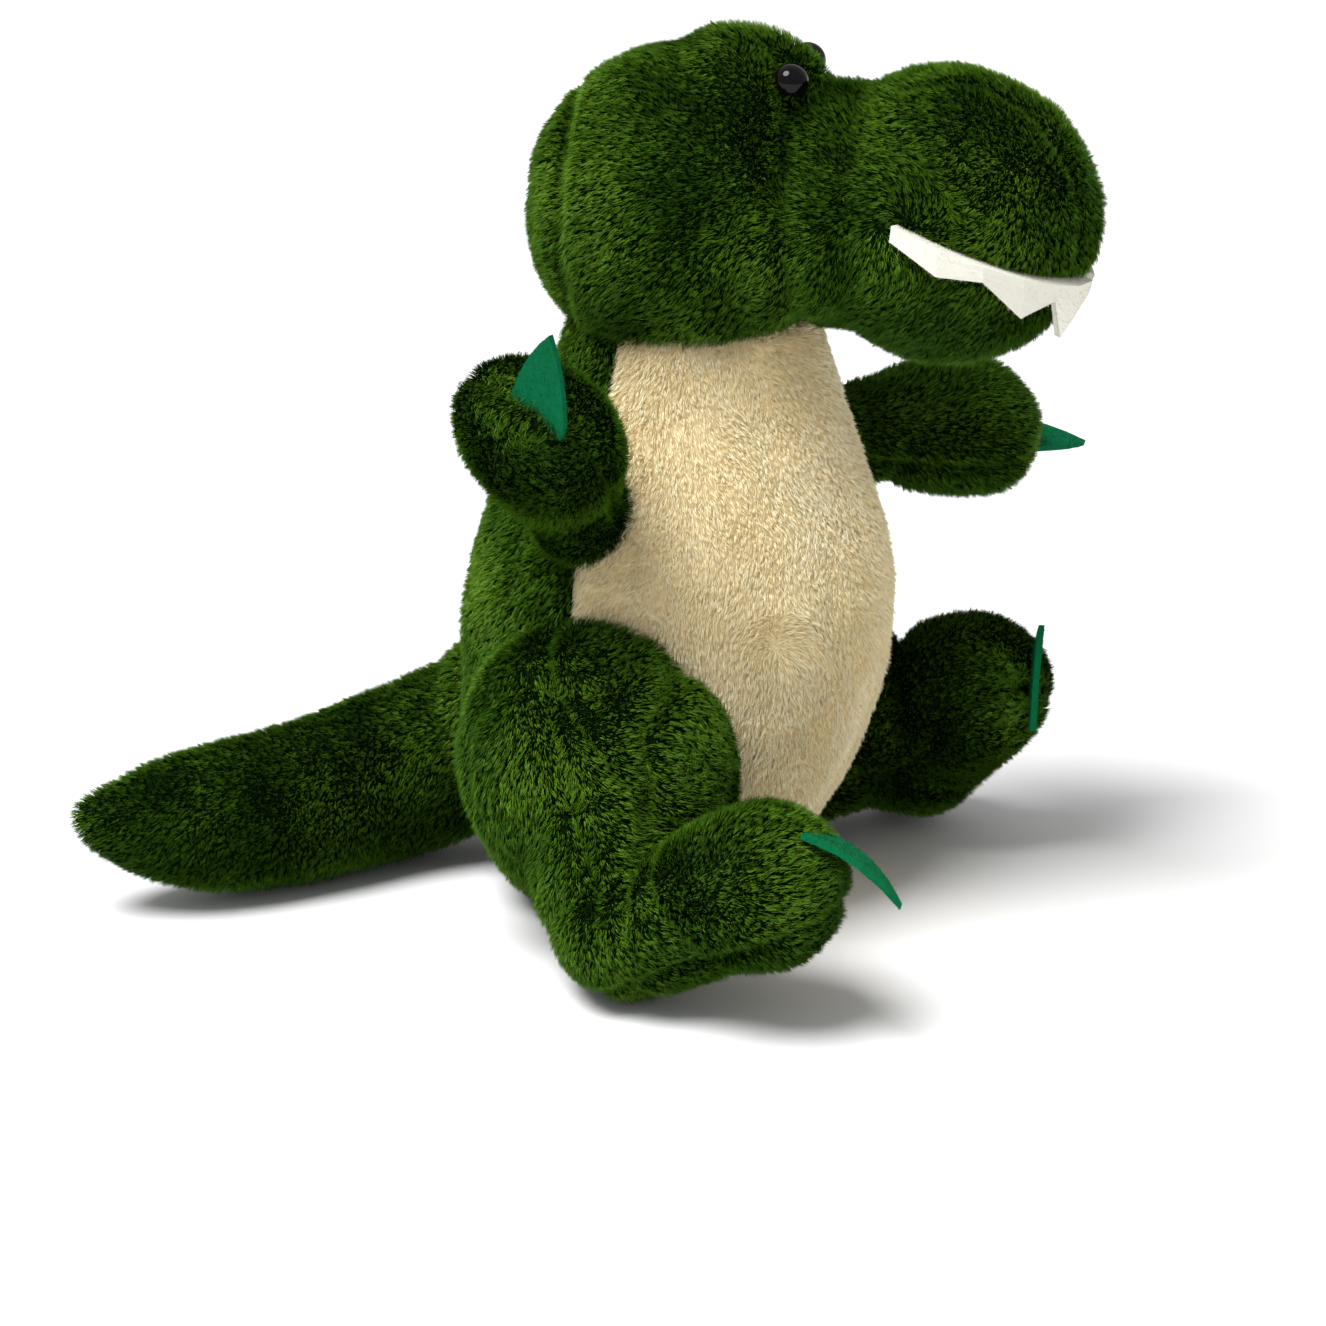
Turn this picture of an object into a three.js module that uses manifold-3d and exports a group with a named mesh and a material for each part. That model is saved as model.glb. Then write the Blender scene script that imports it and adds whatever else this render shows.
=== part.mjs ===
// A sitting plush dinosaur: pile-fabric covers in sewn panels, their fillings, felt claws and teeth, bead eyes.
// Millimetres, +Z up. The toy faces -Y, its right side is -X, and it sits on the floor z = 0.
import * as THREE from "three";
import { mergeVertices } from "three/addons/utils/BufferGeometryUtils.js";
import Module from "manifold-3d";

const wasm = await Module();
wasm.setup();

// ---- Driving dimensions ----
const COVER = 2; // thickness of the pile fabric
const GAP = 0.3; // clearance between neighbouring pieces
const PLAY = 0.8; // clearance on each side of a ring of stitches, where a limb turns
const FELT = 1.2; // thickness of the claws and teeth
const THREAD = 0.8; // thickness of a ring of ladder stitches
const SOCKET = 2 * PLAY + THREAD; // room around a limb's round root for its stitches

// Torso: half-width, half-depth and middle of each level, from below the seat up to the neck.
const TORSO_LEVELS = [
  { z: -8, y: 11, wide: 28, deep: 19 },
  { z: 14, y: 9.5, wide: 38, deep: 31.5 },
  { z: 38, y: 5, wide: 41, deep: 39.5 },
  { z: 66, y: 0, wide: 39.5, deep: 41 },
  { z: 92, y: -1, wide: 31, deep: 33 },
  { z: 106, y: -2, wide: 25.5, deep: 28 },
  { z: 122, y: -3, wide: 21, deep: 23 },
];
const SIDE_SEAM_Y = 3; // the belly panel lies in front of this, the back panels behind it
const POUCH = { y: -1, z: 17, wide: 12, deep: 14, tall: 10 }; // bag of plastic pellets in the seat

// Head: cranium, brow, cheeks, bridge and muzzle, in a frame at the middle of the cranium that faces -Y.
const HEAD_AT = [0, -1, 135.5];
const HEAD_TURN = 20; // degrees to the toy's left
const CRANIUM = 31;
const BROW = { x: 0, y: -9, z: 13.5, wide: 20, deep: 20, tall: 21.5 };
const CHEEK = { x: 10, y: -19, z: -2, wide: 18, deep: 20, tall: 18 };
const NOD_DOWN = 7; // degrees that the head can nod down, and then turn aside, which the neck leaves room for
const LOOK_ASIDE = 15;
const BRIDGE = { x: 0, y: -29, z: 2, wide: 23, deep: 22, tall: 23 };
const MUZZLE = { x: 0, y: -48, z: 1, wide: 27, deep: 28, tall: 28 };
const BACK_SEAM_Y = 20; // the back panel of the head lies behind this
const GUSSET = 9; // half-width of the strip over the middle of the head
const MOUTH = { y: -46, z: 1.5, slope: 0.42, corner: -33 }; // the mouth seam falls by slope towards the nose
// The strips of teeth run round the muzzle between two angles, in degrees, and stand off the jaw by `flare`.
const TEETH = { from: 5, to: 104, long: [9, 6.5, 4.5], notch: 2.2, root: 1.8, flare: 0.22 };
const EYE = { out: [0.55, -0.54, 0.64], r: 3.3, dome: 2.8, shank: 1.2, stem: 6.5, washer: 4.2, washerThick: 1 };

// Arms, each in a frame with the shoulder at the origin, the hand along +X and the palm seam in the XY plane.
const ARM_ROOT = 10.5; // radius of the round shoulder end
const ARM_STATIONS = [
  { x: -3, wide: 8, deep: 8 },
  { x: 11, wide: 11, deep: 10.5 },
  { x: 23, wide: 15, deep: 12.5 },
  { x: 34, wide: 16.5, deep: 13 },
  { x: 46.5, wide: 16, deep: 12.5 },
];
const ARMS = {
  right: {
    side: -1,
    at: [-34, 3, 85],
    points: [-0.74, -0.17, 0.66],
    roll: -25,
    claw: { y: 4, z: 0, lift: 40, sag: 1.5 },
  },
  left: {
    side: 1,
    at: [34, -11, 85],
    points: [0.8, -0.58, -0.03],
    roll: 18,
    claw: { y: 0, z: -3.5, lift: -6, sag: 2 },
  },
};
const HAND_CLAW = { base: 12, long: 16 };

// Legs: a round thigh that turns about the hip's sideways axis, a shin down to the heel, and a foot.
const SHIN = [
  { share: 0.22, wide: 15.5, deep: 21 },
  { share: 0.62, wide: 15, deep: 18 },
  { share: 1, wide: 14.5, deep: 15 },
];
const FOOT_STATIONS = [
  { x: -14, wide: 11, deep: 12 },
  { x: 0, wide: 15, deep: 14 },
  { x: 17, wide: 15.5, deep: 14 },
  { x: 34, wide: 17, deep: 15.5 },
  { x: 48, wide: 15, deep: 14 },
];
const SOLE_Z = -7.5; // the sole panel lies below this in the foot
const LEGS = {
  right: {
    side: -1,
    hip: [-39, -3, 38],
    thigh: { wide: 20, round: 28 },
    heel: [-55, -18, 12.8],
    foot: [0.05, -0.9, 0.44],
    claw: { x: 47.5, y: 0, z: 4, lift: -38, turn: -17, sag: 6 },
  },
  left: {
    side: 1,
    hip: [38, -2, 28],
    thigh: { wide: 19, round: 26.5 },
    heel: [56.5, -19, 13.2],
    foot: [-0.34, -0.63, 0.69],
    claw: { x: 40, y: 5, z: -10.5, lift: 44, turn: 57, sag: 1 },
  },
};
const LEG_SEAM_SHARE = 0.8; // how far from the hip to the heel, sideways, the side seam lies
const FOOT_CLAW = { base: 11, long: 17 };

// Tail, from its round root in the back of the torso.
const TAIL_AT = [2, 40, 26];
const TAIL_ROOT = 20;
const TAIL_STATIONS = [
  { x: 1, y: -8, z: 0, wide: 12, deep: 12 },
  { x: -2, y: 5, z: -3, wide: 15.5, deep: 17.5 },
  { x: -17, y: 19, z: -8, wide: 15, deep: 17.5 },
  { x: -43, y: 31, z: -10, wide: 13, deep: 15.5 },
  { x: -62, y: 43, z: -8, wide: 10.5, deep: 12.5 },
  { x: -76, y: 54, z: -5, wide: 8, deep: 9.5 },
];

// Number of flats around a cover, and around a lining or filling that no one sees.
const OUTSIDE = { sides: 16, rings: 9 };
const INSIDE = { sides: 8, rings: 6 };
const SOCKETS = { sides: 16, rings: 9 };
const SMALL = { sides: 10 };
const TIDY = 0.12; // slivers narrower than this are merged into their neighbours
const CLAW_TUCK = 3; // how far a claw reaches into its seam

// ---- Materials ----
const cloth = (color) => new THREE.MeshStandardMaterial({ color, roughness: 0.95 });
const greenPile = cloth(0x2c5a1c);
const creamPile = cloth(0xe3d3a4);
const fibre = cloth(0xf2f0ea);
const pellets = cloth(0xd8d8d2);
const greenFelt = cloth(0x06733c);
const whiteFelt = cloth(0xe9e8da);
const thread = cloth(0x1c3d14);
const beadBlack = new THREE.MeshStandardMaterial({ color: 0x060606, roughness: 0.08 });
const washerWhite = new THREE.MeshStandardMaterial({ color: 0xe6e6e2, roughness: 0.5 });

// ---- Solids ----
// A closed geometry as a manifold-3d solid, turned the right way out.
function solid(geometry) {
  const bare = geometry.index ? geometry.toNonIndexed() : geometry.clone();
  bare.deleteAttribute("normal");
  bare.deleteAttribute("uv");
  const merged = mergeVertices(bare, 1e-4);
  const faces = new Uint32Array(merged.index.array);
  const make = () =>
    new wasm.Manifold(
      new wasm.Mesh({ numProp: 3, vertProperties: merged.attributes.position.array, triVerts: faces }),
    );
  const made = make();
  if (made.volume() > 0) return made;
  for (let i = 0; i < faces.length; i += 3) [faces[i], faces[i + 1]] = [faces[i + 1], faces[i]];
  return make();
}

function geometryOf(manifold) {
  const mesh = manifold.getMesh();
  const points = new Float32Array(mesh.numVert * 3);
  for (let i = 0; i < mesh.numVert; i++)
    points.set(mesh.vertProperties.subarray(i * mesh.numProp, i * mesh.numProp + 3), i * 3);
  return new THREE.BufferGeometry()
    .setAttribute("position", new THREE.BufferAttribute(points, 3))
    .setIndex(new THREE.BufferAttribute(mesh.triVerts, 1));
}

// Rings of points in order along a form, closed at both ends with a fan.
function skin(rings) {
  const around = rings[0].length;
  const points = rings.flat();
  const middle = (ring) => ring.reduce((sum, p) => sum.add(p), new THREE.Vector3()).divideScalar(around);
  points.push(middle(rings[0]), middle(rings.at(-1)));
  const [first, last] = [points.length - 2, points.length - 1];
  const faces = [];
  for (let j = 0; j < around; j++) {
    const k = (j + 1) % around;
    for (let i = 0; i + 1 < rings.length; i++) {
      const [a, b] = [i * around, (i + 1) * around];
      faces.push(a + j, a + k, b + k, a + j, b + k, b + j);
    }
    const end = (rings.length - 1) * around;
    faces.push(first, k, j, last, end + j, end + k);
  }
  const made = new THREE.BufferGeometry().setFromPoints(points);
  return solid(made.setIndex(faces));
}

// A soft tube along a smooth line of stations { x, y, z, wide, deep }; `round` is the share of the line that each
// end takes to close, and `inset` makes the same form smaller all round.
function tube(stations, { up, inset = 0, round = [0.25, 0.25], sides, rings }) {
  const line = new THREE.CatmullRomCurve3(stations.map((s) => new THREE.Vector3(s.x ?? 0, s.y ?? 0, s.z ?? 0)));
  const girth = new THREE.CatmullRomCurve3(stations.map((s) => new THREE.Vector3(s.wide, s.deep, 0)));
  const closing = (distance, share) =>
    distance < share ? Math.sqrt(Math.max(0.004, 1 - (1 - distance / share) ** 2)) : 1;
  const made = [];
  for (let i = 0; i <= rings; i++) {
    const t = (1 - Math.cos((Math.PI * i) / rings)) / 2;
    const along = line.getTangent(t);
    const side = new THREE.Vector3().crossVectors(along, up).normalize();
    const over = new THREE.Vector3().crossVectors(side, along);
    const centre = line.getPoint(t).addScaledVector(along, inset * (1 - 2 * t));
    const size = girth.getPoint(t);
    const share = closing(t, round[0]) * closing(1 - t, round[1]);
    const ring = [];
    for (let j = 0; j < sides; j++) {
      const angle = (2 * Math.PI * j) / sides;
      ring.push(
        centre
          .clone()
          .addScaledVector(side, share * (size.x - inset) * Math.cos(angle))
          .addScaledVector(over, share * (size.y - inset) * Math.sin(angle)),
      );
    }
    made.push(ring);
  }
  return skin(made);
}

// An ellipsoid, by its middle and its three half-sizes.
function ellipsoid([x, y, z], [rx, ry, rz], { sides, rings }) {
  const made = new THREE.SphereGeometry(1, sides, rings);
  return solid(made.rotateX(Math.PI / 2).scale(rx, ry, rz).translate(x, y, z));
}

const ball = (at, r, detail) => ellipsoid(at, [r, r, r], detail);

// A box from its lowest to its highest corner.
function block([x0, y0, z0], [x1, y1, z1]) {
  const made = new THREE.BoxGeometry(x1 - x0, y1 - y0, z1 - z0);
  return solid(made.translate((x0 + x1) / 2, (y0 + y1) / 2, (z0 + z1) / 2));
}

const FAR = 300;
const leftOf = (x) => block([x, -FAR, -FAR], [FAR, FAR, FAR]);
const rightOf = (x) => block([-FAR, -FAR, -FAR], [x, FAR, FAR]);
const behind = (y) => block([-FAR, y, -FAR], [FAR, FAR, FAR]);
const inFrontOf = (y) => block([-FAR, -FAR, -FAR], [FAR, y, FAR]);
const above = (z) => block([-FAR, -FAR, z], [FAR, FAR, FAR]);
const below = (z) => block([-FAR, -FAR, -FAR], [FAR, FAR, z]);

// The largest body of a cut piece; a cut across a curve can leave slivers at its edge.
const bigger = (a, b) => (b.volume() > a.volume() ? b : a);
const largest = (made) => made.simplify(TIDY).decompose().reduce(bigger);

function add(name, manifold, material) {
  const mesh = new THREE.Mesh(geometryOf(largest(manifold)), material);
  mesh.name = name;
  toy.add(mesh);
}

// A stuffed form as its cover, open inside, and its filling: form(inset, detail) gives the form at any inset.
function stuffed(form) {
  const lining = form(COVER, INSIDE);
  return { cover: form(0, OUTSIDE).subtract(lining), filling: form(COVER + GAP, INSIDE) };
}

// The ring of ladder stitches round a limb's round root: a band of an ellipsoid of revolution about +Y, given by
// its radius and its half-height, between two angles up from the equator.
function stitchRing(radius, height, from, to) {
  const steps = 1;
  const profile = [];
  for (const [out, start, end] of [
    [PLAY + THREAD, from, to],
    [PLAY, to, from],
  ])
    for (let i = 0; i <= steps; i++) {
      const angle = THREE.MathUtils.degToRad(start + ((end - start) * i) / steps);
      profile.push(new THREE.Vector2((radius + out) * Math.cos(angle), (height + out) * Math.sin(angle)));
    }
  profile.push(profile[0].clone());
  return solid(new THREE.LatheGeometry(profile, SOCKETS.sides));
}

// A felt claw: base on the Y axis, point along +X and bent towards -Z by `sag` at the point. Its first few
// millimetres are caught in a seam.
function claw({ base, long }, sag, grown) {
  const half = base / 2 + grown;
  const outline = new THREE.Shape();
  outline.moveTo(-CLAW_TUCK - grown, -half);
  outline.lineTo(0, -half);
  outline.quadraticCurveTo(long * 0.6, -half * 0.84, long, 0);
  outline.quadraticCurveTo(long * 0.5, half * 0.68, 0, half);
  outline.lineTo(-CLAW_TUCK - grown, half);
  outline.closePath();
  const plan = new THREE.ExtrudeGeometry(outline, { depth: 40, bevelEnabled: false, curveSegments: 5 });
  const thickness = FELT / 2 + grown;
  const fall = (x) => -sag * (Math.max(0, x) / long) ** 2;
  const steps = [-CLAW_TUCK - 1, 0, 0.25, 0.5, 0.75, 1.1].map((share) => (share < 0 ? share : share * long));
  const side = new THREE.Shape(steps.map((x) => new THREE.Vector2(x, fall(x) - thickness)));
  for (const x of steps.reverse()) side.lineTo(x, fall(x) + thickness);
  side.closePath();
  const bent = new THREE.ExtrudeGeometry(side, { depth: 40, bevelEnabled: false });
  return solid(plan.translate(0, 0, -20)).intersect(solid(bent.rotateX(Math.PI / 2).translate(0, 20, 0)));
}

// The turn and place of a frame: +X to a direction, rolled about it by some degrees, at a point.
function frameAt(at, direction, roll = 0) {
  const x = new THREE.Vector3(...direction).normalize();
  const y = new THREE.Vector3().crossVectors(new THREE.Vector3(0, 0, 1), x).normalize();
  const z = new THREE.Vector3().crossVectors(x, y);
  const turned = new THREE.Matrix4().makeBasis(x, y, z);
  turned.multiply(new THREE.Matrix4().makeRotationX(THREE.MathUtils.degToRad(roll)));
  return turned.setPosition(...at);
}

// The same for a ring or an eye, which is made about +Y.
function axisAt(at, direction) {
  const turn = new THREE.Quaternion().setFromUnitVectors(
    new THREE.Vector3(0, 1, 0),
    new THREE.Vector3(...direction).normalize(),
  );
  return new THREE.Matrix4().makeRotationFromQuaternion(turn).setPosition(...at);
}

const moved = (manifold, matrix) => manifold.transform([...matrix.elements]);
const sizes = ({ wide, deep, tall }, inset) => [wide - inset, deep - inset, tall - inset];

const toy = new THREE.Group();

// ---- Torso ----
const torsoStations = TORSO_LEVELS.map(({ z, y, wide, deep }) => ({ x: 0, y, z, wide, deep }));

function torsoForm(inset, detail) {
  const grown = inset + SOCKET;
  const trunk = tube(torsoStations, { up: new THREE.Vector3(0, 1, 0), inset, round: [0.16, 0.05], ...detail });
  const thighSocket = ({ hip, thigh }) =>
    spinner(hip, [thigh.wide + grown, thigh.round + grown, thigh.round + grown], SOCKETS);
  return trunk
    .subtract(below(inset))
    .subtract(ball(HEAD_AT, CRANIUM + grown, SOCKETS))
    .subtract(ball(ARMS.right.at, ARM_ROOT + grown, SOCKETS))
    .subtract(ball(ARMS.left.at, ARM_ROOT + grown, SOCKETS))
    .subtract(thighSocket(LEGS.right))
    .subtract(thighSocket(LEGS.left))
    .subtract(ball(TAIL_AT, TAIL_ROOT + grown, SOCKETS))
    .subtract(cheekRoom(inset + PLAY, detail));
}

// The space that the cheeks and the bridge sweep when the head nods down and turns.
function cheekRoom(grown, detail) {
  const lump = (part, side) => ellipsoid([side * part.x, part.y, part.z], sizes(part, -grown), detail);
  const face = lump(CHEEK, 1).add(lump(CHEEK, -1)).add(lump(BRIDGE, 1));
  const nodded = new THREE.Matrix4().makeRotationX(THREE.MathUtils.degToRad(NOD_DOWN));
  const swept = [-LOOK_ASIDE, 0, LOOK_ASIDE].map((degrees) => {
    const turned = new THREE.Matrix4().makeRotationZ(THREE.MathUtils.degToRad(degrees));
    return moved(face, headPlace().multiply(turned).multiply(nodded));
  });
  return swept.reduce((all, one) => all.add(one));
}

// The head's turn and place.
function headPlace() {
  return new THREE.Matrix4().makeRotationZ(THREE.MathUtils.degToRad(HEAD_TURN)).setPosition(...HEAD_AT);
}

// An ellipsoid whose flats run round the X axis, so that it can turn about that axis.
function spinner([x, y, z], [rx, ry, rz], { sides, rings }) {
  const made = new THREE.SphereGeometry(1, sides, rings);
  return solid(made.rotateZ(Math.PI / 2).scale(rx, ry, rz).translate(x, y, z));
}

function buildTorso() {
  const { cover, filling } = stuffed(torsoForm);
  const pouch = (grown) => ellipsoid([0, POUCH.y, POUCH.z], sizes(POUCH, -grown), INSIDE);
  const [wide, deep] = [POUCH.wide + GAP, POUCH.deep + GAP];
  const under = block([-wide, POUCH.y - deep, 0], [wide, POUCH.y + deep, POUCH.z]);
  const back = cover.intersect(behind(SIDE_SEAM_Y + GAP / 2));
  add("belly_panel", cover.intersect(inFrontOf(SIDE_SEAM_Y - GAP / 2)), creamPile);
  add("back_panel_left", back.intersect(leftOf(GAP / 2)), greenPile);
  add("back_panel_right", back.intersect(rightOf(-GAP / 2)), greenPile);
  add("torso_filling", filling.subtract(pouch(GAP).add(under)), fibre);
  add("pellet_pouch", pouch(0), pellets);
}

// ---- Head ----
function headForm(inset, detail) {
  const lump = (part, side = 1) => ellipsoid([side * part.x, part.y, part.z], sizes(part, inset), detail);
  return ball([0, 0, 0], CRANIUM - inset, detail)
    .add(lump(BROW))
    .add(lump(CHEEK))
    .add(lump(CHEEK, -1))
    .add(lump(BRIDGE))
    .add(lump(MUZZLE));
}

// Everything under the mouth seam and in front of its corners, lowered by `lower`.
function underMouth(lower) {
  const tilt = Math.atan(MOUTH.slope);
  const turned = new THREE.Matrix4().makeRotationX(tilt).setPosition(0, MOUTH.y, MOUTH.z - lower);
  return moved(below(0), turned).intersect(inFrontOf(MOUTH.corner - lower));
}

// A point on the muzzle, so many degrees round from the nose and `drop` below the mouth seam.
function onMuzzle(side, degrees, drop, out) {
  const angle = THREE.MathUtils.degToRad(degrees);
  const [wide, deep, tall] = sizes(MUZZLE, -out);
  const point = new THREE.Vector3();
  let seam = 0;
  for (let i = 0; i < 8; i++) {
    const girth = (z) => Math.sqrt(Math.max(0, 1 - ((z - MUZZLE.z) / tall) ** 2));
    const z = seam - drop;
    point.set(side * wide * girth(z) * Math.sin(angle), MUZZLE.y - deep * girth(z) * Math.cos(angle), z);
    const seamY = MUZZLE.y - deep * girth(seam) * Math.cos(angle);
    seam = MOUTH.z + MOUTH.slope * (seamY - MOUTH.y);
  }
  return point.setZ(seam - drop);
}

// A strip of pointed felt teeth for one side: a root caught in the mouth seam, and points over the jaw.
function teeth(side) {
  const columns = TEETH.long.length * 2;
  const roots = [];
  const points = [];
  for (let i = 0; i <= columns; i++) {
    const degrees = TEETH.from + ((TEETH.to - TEETH.from) * i) / columns;
    const at = (drop, out) => onMuzzle(side, degrees, drop, out);
    const toPoint = 1 - Math.abs(((i / 2) % 1) * 2 - 1);
    const tooth = TEETH.long[Math.min(Math.floor(i / 2), TEETH.long.length - 1)];
    const long = TEETH.notch + (tooth - TEETH.notch) * toPoint;
    const [inner, outer] = [GAP + 0.15, GAP + 0.15 + FELT];
    roots.push([at(-FELT / 2, -TEETH.root), at(-FELT / 2, outer), at(FELT / 2, outer), at(FELT / 2, -TEETH.root)]);
    const drops = [0, 0.34, 0.67, 1].map((share) => -FELT / 2 + share * (long + FELT / 2));
    const off = (d) => TEETH.flare * Math.max(0, d);
    const front = drops.map((d) => at(d, outer + off(d)));
    points.push([...front, ...drops.reverse().map((d) => at(d, inner + off(d)))]);
  }
  return skin(roots).add(skin(points));
}

// The dome and stem of one eye about +Y, with the cover's surface at the origin.
function eyeBead() {
  const lift = 0.5;
  const profile = [new THREE.Vector2(0, -EYE.stem), new THREE.Vector2(EYE.shank, -EYE.stem)];
  profile.push(new THREE.Vector2(EYE.shank, lift));
  for (let i = 0; i <= 4; i++) {
    const angle = (Math.PI / 2) * (i / 4);
    profile.push(new THREE.Vector2(EYE.r * Math.cos(angle), lift + EYE.dome * Math.sin(angle)));
  }
  return solid(new THREE.LatheGeometry(profile, SMALL.sides));
}

// A round disc about +Y between two heights, with an optional hole.
function disc(radius, low, high, hole = 0) {
  const corners = [
    [hole, low],
    [radius, low],
    [radius, high],
    [hole, high],
  ].map(([x, y]) => new THREE.Vector2(x, y));
  if (hole > 0) corners.push(corners[0].clone());
  return solid(new THREE.LatheGeometry(corners, SMALL.sides));
}

function buildHead() {
  const place = headPlace();
  const put = (name, made, material) => add(name, moved(made, place), material);
  let { cover, filling } = stuffed(headForm);
  for (const [name, side] of [
    ["left", 1],
    ["right", -1],
  ]) {
    const out = new THREE.Vector3(side * EYE.out[0], EYE.out[1], EYE.out[2]).normalize();
    const [wide, deep, tall] = sizes(BROW, 0);
    const reach = 1 / Math.hypot(out.x / wide, out.y / deep, out.z / tall);
    const at = out.clone().multiplyScalar(reach).add(new THREE.Vector3(BROW.x, BROW.y, BROW.z));
    const eye = axisAt(at.toArray(), out.toArray());
    const washerTop = -COVER - GAP - 1.9;
    const washerLow = washerTop - EYE.washerThick;
    put(`eye_${name}`, moved(eyeBead(), eye), beadBlack);
    put(
      `eye_washer_${name}`,
      moved(disc(EYE.washer, washerLow, washerTop, EYE.shank + 0.15), eye),
      washerWhite,
    );
    cover = cover.subtract(moved(disc(EYE.shank + GAP, -9, 4), eye));
    filling = filling.subtract(moved(disc(EYE.washer + GAP, -EYE.stem - GAP, 4), eye));
    put(`teeth_${name}`, teeth(side), whiteFelt);
  }
  const lip = FELT / 2 + GAP;
  const jaw = cover.intersect(underMouth(lip));
  const upper = cover.subtract(underMouth(-lip));
  const front = upper.intersect(inFrontOf(BACK_SEAM_Y - GAP / 2));
  const strip = (half) => block([-half, -FAR, -5], [half, FAR, FAR]);
  put("jaw_panel", jaw, greenPile);
  put("head_back", upper.intersect(behind(BACK_SEAM_Y + GAP / 2)), greenPile);
  put("head_gusset", front.intersect(strip(GUSSET - GAP / 2)), greenPile);
  const sides = front.subtract(strip(GUSSET + GAP / 2));
  put("head_side_left", sides.intersect(leftOf(GAP / 2)), greenPile);
  put("head_side_right", sides.intersect(rightOf(-GAP / 2)), greenPile);
  put("head_filling", filling, fibre);
  add("neck_seam", moved(stitchRing(CRANIUM, CRANIUM, 50, 60), axisAt(HEAD_AT, [0, 0, -1])), thread);
}

// ---- Arms ----
function armForm(inset, detail) {
  const arm = tube(ARM_STATIONS, { up: new THREE.Vector3(0, 0, 1), inset, round: [0.1, 0.3], ...detail });
  return arm.add(ball([0, 0, 0], ARM_ROOT - inset, detail));
}

function buildArm(name, { side, at, points, roll, claw: nail }) {
  const place = frameAt(at, points, roll);
  const put = (piece, made, material) => add(`arm_${name}_${piece}`, moved(made, place), material);
  const tip = ARM_STATIONS.at(-1).x - 2;
  const lifted = new THREE.Matrix4().makeRotationY(THREE.MathUtils.degToRad(-nail.lift)).setPosition(tip, nail.y, nail.z);
  const slot = moved(claw(HAND_CLAW, nail.sag, GAP), lifted);
  const { cover, filling } = stuffed(armForm);
  const open = cover.subtract(slot);
  put("upper", open.intersect(above(GAP / 2)), greenPile);
  put("lower", open.intersect(below(-GAP / 2)), greenPile);
  put("filling", filling.subtract(slot), fibre);
  put("claw", moved(claw(HAND_CLAW, nail.sag, 0), lifted), greenFelt);
  const inwards = [-side, 0, 0];
  add(`shoulder_seam_${name}`, moved(stitchRing(ARM_ROOT, ARM_ROOT, 35, 55), axisAt(at, inwards)), thread);
}

// ---- Legs ----
function buildLeg(name, { side, hip, thigh, heel, foot, claw: toeClaw }) {
  const up = new THREE.Vector3(0, 0, 1);
  const footFrame = frameAt(heel, foot);
  const shin = SHIN.map(({ share, wide, deep }) => {
    const at = new THREE.Vector3(...hip).lerp(new THREE.Vector3(...heel), share);
    return { x: at.x, y: at.y, z: at.z, wide, deep };
  });
  const footForm = (inset, detail) => tube(FOOT_STATIONS, { up, inset, round: [0.3, 0.3], ...detail });
  const legForm = (inset, detail) =>
    spinner(hip, [thigh.wide - inset, thigh.round - inset, thigh.round - inset], detail)
      .add(tube(shin, { up, inset, round: [0.3, 0.3], ...detail }))
      .add(moved(footForm(inset, detail), footFrame));
  const put = (piece, made, material) => add(`leg_${name}_${piece}`, made, material);
  const soleZone = (grown) =>
    moved(footForm(-1 - grown, INSIDE).intersect(below(SOLE_Z + grown)), footFrame);
  const lift = new THREE.Matrix4().makeRotationY(THREE.MathUtils.degToRad(-toeClaw.lift));
  const turn = new THREE.Matrix4().makeRotationX(THREE.MathUtils.degToRad(toeClaw.turn));
  const placed = footFrame.clone().multiply(lift.setPosition(toeClaw.x, toeClaw.y, toeClaw.z)).multiply(turn);
  const slot = moved(claw(FOOT_CLAW, toeClaw.sag, GAP), placed);
  const { cover, filling } = stuffed(legForm);
  const open = cover.subtract(slot);
  const upper = open.subtract(soleZone(GAP));
  const seam = hip[0] + LEG_SEAM_SHARE * (heel[0] - hip[0]);
  const [outside, inside] = side > 0 ? [leftOf, rightOf] : [rightOf, leftOf];
  put("outer", upper.intersect(outside(seam + (side * GAP) / 2)), greenPile);
  put("inner", upper.intersect(inside(seam - (side * GAP) / 2)), greenPile);
  put("sole", open.intersect(soleZone(0)), greenPile);
  put("filling", filling.subtract(slot), fibre);
  put("claw", moved(claw(FOOT_CLAW, toeClaw.sag, 0), placed), greenFelt);
  const ring = stitchRing(thigh.round, thigh.wide, 30, 42);
  add(`hip_seam_${name}`, moved(ring, axisAt(hip, [-side, 0, 0])), thread);
}

// ---- Tail ----
function tailForm(inset, detail) {
  const tail = tube(TAIL_STATIONS, { up: new THREE.Vector3(0, 0, 1), inset, round: [0.1, 0.3], ...detail });
  return tail.add(ball([0, 0, 0], TAIL_ROOT - inset, detail));
}

// Everything to the left of the tail's own curve, moved sideways by `shift`.
function leftOfTail(shift) {
  const line = TAIL_STATIONS.map((s) => new THREE.Vector2(s.x, s.y));
  const first = line[1].clone().sub(line[0]).normalize();
  const last = line.at(-1).clone().sub(line.at(-2)).normalize();
  line.unshift(line[0].clone().addScaledVector(first, -60));
  line.push(line.at(-1).clone().addScaledVector(last, 60));
  const outline = line.map((p) => new THREE.Vector2(p.x + shift, p.y + shift));
  outline.push(new THREE.Vector2(FAR, FAR), new THREE.Vector2(FAR, -FAR));
  const made = new THREE.ExtrudeGeometry(new THREE.Shape(outline), { depth: 2 * FAR, bevelEnabled: false });
  return solid(made.translate(0, 0, -FAR));
}

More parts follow.
